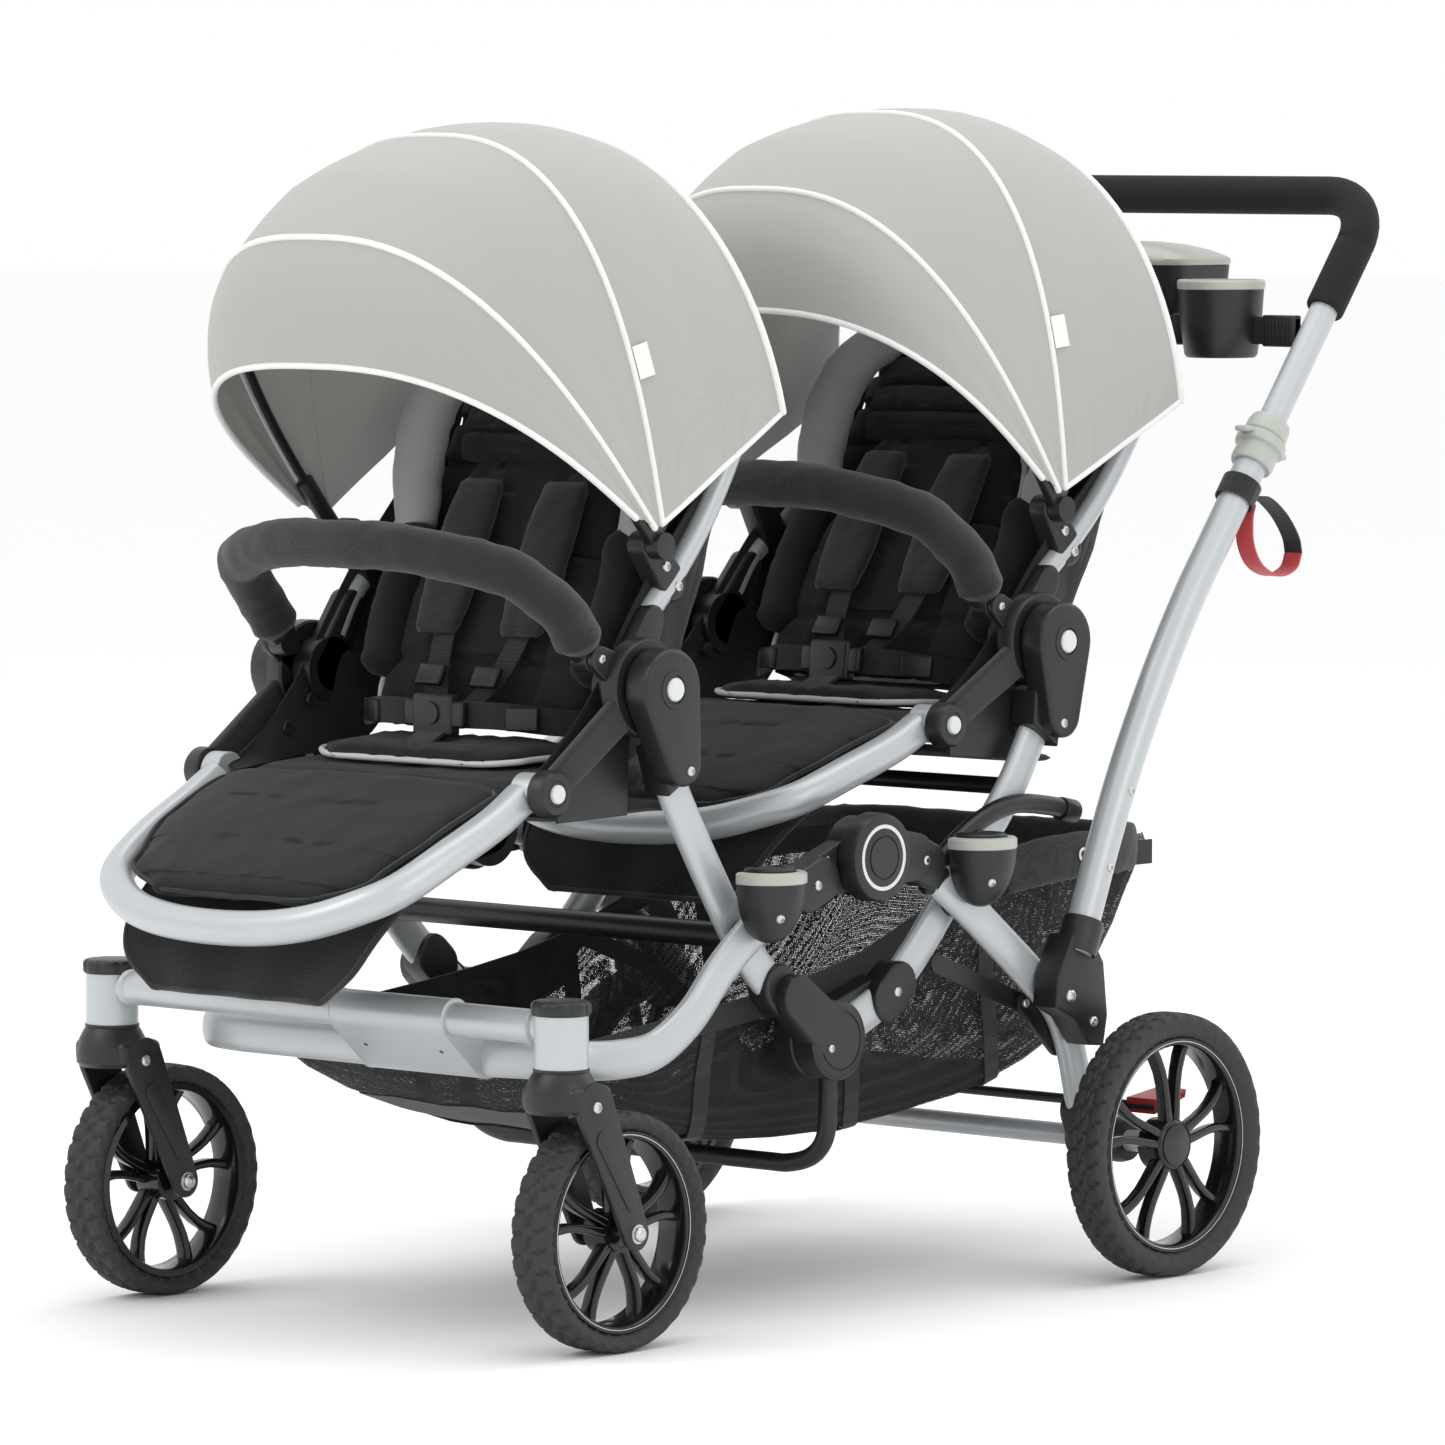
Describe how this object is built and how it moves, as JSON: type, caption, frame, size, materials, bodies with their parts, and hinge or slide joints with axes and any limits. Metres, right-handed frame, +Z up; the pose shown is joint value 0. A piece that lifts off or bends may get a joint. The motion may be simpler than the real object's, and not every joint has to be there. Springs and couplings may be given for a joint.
{
  "type": "tandem double stroller",
  "caption": "Folding push stroller with seats in line, hooded and reclining, swivel front wheels, a mesh basket and a parent tray on a telescoping handle.",
  "frame": {"origin": "centre of the stroller's footprint box, on the floor", "axes": "+Z up, +Y from the front wheels to the handle, +X to the child's left"},
  "size_m": [0.686, 1.3278, 1.0739],
  "materials": {
    "frame_paint": "satin",
    "black_paint": "satin",
    "black_plastic": "matte",
    "rim_plastic": "gloss",
    "grey_plastic": "satin",
    "pedal_plastic": "satin",
    "tyre": "matte",
    "grip_foam": "matte",
    "seat_fabric": "matte",
    "canopy_fabric": "matte",
    "basket_mesh": "matte"
  },
  "bodies": {
    "rear_legs": {"rear_leg_frame": "frame_paint", "rear_crossing_cover_left": "black_plastic", "rear_crossing_cover_right": "black_plastic", "basket": "basket_mesh"},
    "front_legs": {"front_leg_frame": "frame_paint", "caster_crossbar": "frame_paint", "front_crossing_cover_left": "black_plastic", "front_crossing_cover_right": "black_plastic"},
    "front_support": {"front_support_frame": "frame_paint", "front_seat_mount_left": "black_plastic", "front_seat_mount_right": "black_plastic", "front_seat_frame": "black_plastic", "front_seat_pad": "seat_fabric"},
    "rear_support": {"rear_support_frame": "frame_paint", "rear_seat_mount_left": "black_plastic", "rear_seat_mount_right": "black_plastic", "rear_seat_frame": "black_plastic", "rear_seat_pad": "seat_fabric"},
    "fold_links": {"fold_link_left": "black_paint", "fold_link_right": "black_paint"},
    "push_tubes": {"push_tube_left": "frame_paint", "push_tube_right": "frame_paint"},
    "handle": {"push_handle": "frame_paint", "handle_grip": "grip_foam", "parent_tray": "black_plastic"},
    "tray_lid": {"tray_lid": "grey_plastic"},
    "brake": {"brake_bar": "pedal_plastic"},
    "caster_left": {"caster_fork_left": "black_plastic"},
    "front_wheel_left": {"front_rim_left": "rim_plastic", "front_tyre_left": "tyre"},
    "rear_wheel_left": {"rear_rim_left": "rim_plastic", "rear_tyre_left": "tyre"},
    "caster_right": {"caster_fork_right": "black_plastic"},
    "front_wheel_right": {"front_rim_right": "rim_plastic", "front_tyre_right": "tyre"},
    "rear_wheel_right": {"rear_rim_right": "rim_plastic", "rear_tyre_right": "tyre"},
    "front_back": {"front_back_frame": "frame_paint", "front_back_pad": "seat_fabric", "front_canopy_rear": "canopy_fabric"},
    "front_footrest": {"front_footrest": "frame_paint"},
    "front_bumper": {"front_bumper_bar": "seat_fabric"},
    "front_canopy": {"front_canopy_hoop": "black_paint", "front_canopy_front": "canopy_fabric"},
    "front_seat_button_left": {"front_seat_button_left": "grey_plastic"},
    "front_footrest_button_left": {"front_footrest_button_left": "grey_plastic"},
    "front_seat_button_right": {"front_seat_button_right": "grey_plastic"},
    "front_footrest_button_right": {"front_footrest_button_right": "grey_plastic"},
    "rear_back": {"rear_back_frame": "frame_paint", "rear_back_pad": "seat_fabric", "rear_canopy_rear": "canopy_fabric"},
    "rear_footrest": {"rear_footrest": "frame_paint"},
    "rear_bumper": {"rear_bumper_bar": "seat_fabric"},
    "rear_canopy": {"rear_canopy_hoop": "black_paint", "rear_canopy_front": "canopy_fabric"},
    "rear_seat_button_left": {"rear_seat_button_left": "grey_plastic"},
    "rear_footrest_button_left": {"rear_footrest_button_left": "grey_plastic"},
    "rear_seat_button_right": {"rear_seat_button_right": "grey_plastic"},
    "rear_footrest_button_right": {"rear_footrest_button_right": "grey_plastic"}
  },
  "joints": [
    {"name": "frame_fold", "type": "hinge", "parent": "rear_legs", "child": "front_legs", "pos_m": [0, -0.06491, 0.404], "axis": [1, 0, 0], "range_deg": [0, 16], "deforming": ["basket"]},
    {"name": "front_support_fold", "type": "hinge", "parent": "front_legs", "child": "front_support", "pos_m": [0, -0.21291, 0.341], "axis": [1, 0, 0], "range_deg": [-14, 0]},
    {"name": "rear_support_fold", "type": "hinge", "parent": "rear_legs", "child": "rear_support", "pos_m": [0, 0.07509, 0.354], "axis": [1, 0, 0], "range_deg": [0, 14]},
    {"name": "fold_link_swing", "type": "hinge", "parent": "rear_support", "child": "fold_links", "pos_m": [0, 0.05409, 0.297], "axis": [1, 0, 0], "range_deg": [-20, 20]},
    {"name": "handle_fold", "type": "hinge", "parent": "rear_legs", "child": "push_tubes", "pos_m": [0, 0.1791, 0.262], "axis": [1, 0, 0], "range_deg": [0, 15]},
    {"name": "handle_height", "type": "slide", "parent": "push_tubes", "child": "handle", "axis": [0, 0.6088, 0.7934], "range_m": [-0.04, 0.04]},
    {"name": "tray_lid_hinge", "type": "hinge", "parent": "handle", "child": "tray_lid", "pos_m": [0, 0.64509, 0.928], "axis": [-1, 0, 0], "range_deg": [0, 30]},
    {"name": "brake_pedal", "type": "hinge", "parent": "rear_legs", "child": "brake", "pos_m": [0, 0.29309, 0.15], "axis": [-1, 0, 0], "range_deg": [0, 15]},
    {"name": "caster_swivel_left", "type": "hinge", "parent": "front_legs", "child": "caster_left", "pos_m": [0.277, -0.50391, 0.25], "axis": [0, 0, 1], "continuous": true},
    {"name": "front_wheel_spin_left", "type": "hinge", "parent": "caster_left", "child": "front_wheel_left", "pos_m": [0.277, -0.4429, 0.105], "axis": [1, 0, 0], "continuous": true},
    {"name": "rear_wheel_spin_left", "type": "hinge", "parent": "rear_legs", "child": "rear_wheel_left", "pos_m": [0.323, 0.2606, 0.122], "axis": [1, 0, 0], "continuous": true},
    {"name": "caster_swivel_right", "type": "hinge", "parent": "front_legs", "child": "caster_right", "pos_m": [-0.277, -0.50391, 0.25], "axis": [0, 0, 1], "continuous": true},
    {"name": "front_wheel_spin_right", "type": "hinge", "parent": "caster_right", "child": "front_wheel_right", "pos_m": [-0.277, -0.4429, 0.105], "axis": [1, 0, 0], "continuous": true},
    {"name": "rear_wheel_spin_right", "type": "hinge", "parent": "rear_legs", "child": "rear_wheel_right", "pos_m": [-0.323, 0.2606, 0.122], "axis": [1, 0, 0], "continuous": true},
    {"name": "front_recline", "type": "hinge", "parent": "front_support", "child": "front_back", "pos_m": [0, -0.3249, 0.567], "axis": [-1, 0, 0], "range_deg": [0, 18]},
    {"name": "front_footrest_tilt", "type": "hinge", "parent": "front_support", "child": "front_footrest", "pos_m": [0, -0.4489, 0.481], "axis": [1, 0, 0], "range_deg": [-25, 20]},
    {"name": "front_bumper_swing", "type": "hinge", "parent": "front_support", "child": "front_bumper", "pos_m": [0, -0.3739, 0.594], "axis": [-1, 0, 0], "range_deg": [-15, 40]},
    {"name": "front_canopy_fold", "type": "hinge", "parent": "front_back", "child": "front_canopy", "pos_m": [0, -0.2949, 0.69], "axis": [-1, 0, 0], "range_deg": [0, 50], "deforming": ["front_canopy_front"]},
    {"name": "front_seat_button_press_left", "type": "slide", "parent": "front_support", "child": "front_seat_button_left", "axis": [-1, 0, 0], "range_m": [0, 0.003], "stiffness_N_per_m": 400},
    {"name": "front_footrest_button_press_left", "type": "slide", "parent": "front_support", "child": "front_footrest_button_left", "axis": [-1, 0, 0], "range_m": [0, 0.003], "stiffness_N_per_m": 400},
    {"name": "front_seat_button_press_right", "type": "slide", "parent": "front_support", "child": "front_seat_button_right", "axis": [1, 0, 0], "range_m": [0, 0.003], "stiffness_N_per_m": 400},
    {"name": "front_footrest_button_press_right", "type": "slide", "parent": "front_support", "child": "front_footrest_button_right", "axis": [1, 0, 0], "range_m": [0, 0.003], "stiffness_N_per_m": 400},
    {"name": "rear_recline", "type": "hinge", "parent": "rear_support", "child": "rear_back", "pos_m": [0, 0.2121, 0.585], "axis": [-1, 0, 0], "range_deg": [0, 6]},
    {"name": "rear_footrest_tilt", "type": "hinge", "parent": "rear_support", "child": "rear_footrest", "pos_m": [0, 0.07916, 0.51359], "axis": [1, 0, 0], "range_deg": [-25, 20]},
    {"name": "rear_bumper_swing", "type": "hinge", "parent": "rear_support", "child": "rear_bumper", "pos_m": [0, 0.16647, 0.61737], "axis": [-1, 0, 0], "range_deg": [-15, 40]},
    {"name": "rear_canopy_fold", "type": "hinge", "parent": "rear_back", "child": "rear_canopy", "pos_m": [0, 0.25583, 0.70381], "axis": [-1, 0, 0], "range_deg": [0, 50], "deforming": ["rear_canopy_front"]},
    {"name": "rear_seat_button_press_left", "type": "slide", "parent": "rear_support", "child": "rear_seat_button_left", "axis": [-1, 0, 0], "range_m": [0, 0.003], "stiffness_N_per_m": 400},
    {"name": "rear_footrest_button_press_left", "type": "slide", "parent": "rear_support", "child": "rear_footrest_button_left", "axis": [-1, 0, 0], "range_m": [0, 0.003], "stiffness_N_per_m": 400},
    {"name": "rear_seat_button_press_right", "type": "slide", "parent": "rear_support", "child": "rear_seat_button_right", "axis": [1, 0, 0], "range_m": [0, 0.003], "stiffness_N_per_m": 400},
    {"name": "rear_footrest_button_press_right", "type": "slide", "parent": "rear_support", "child": "rear_footrest_button_right", "axis": [1, 0, 0], "range_m": [0, 0.003], "stiffness_N_per_m": 400}
  ],
  "couplings": [
    {"joint": "front_support_fold", "follows": "frame_fold", "ratio": -0.8439},
    {"joint": "rear_support_fold", "follows": "frame_fold", "ratio": 0.7483},
    {"joint": "fold_link_swing", "follows": "frame_fold", "ratio": -0.7946},
    {"joint": "handle_fold", "follows": "frame_fold", "ratio": 0.85}
  ]
}
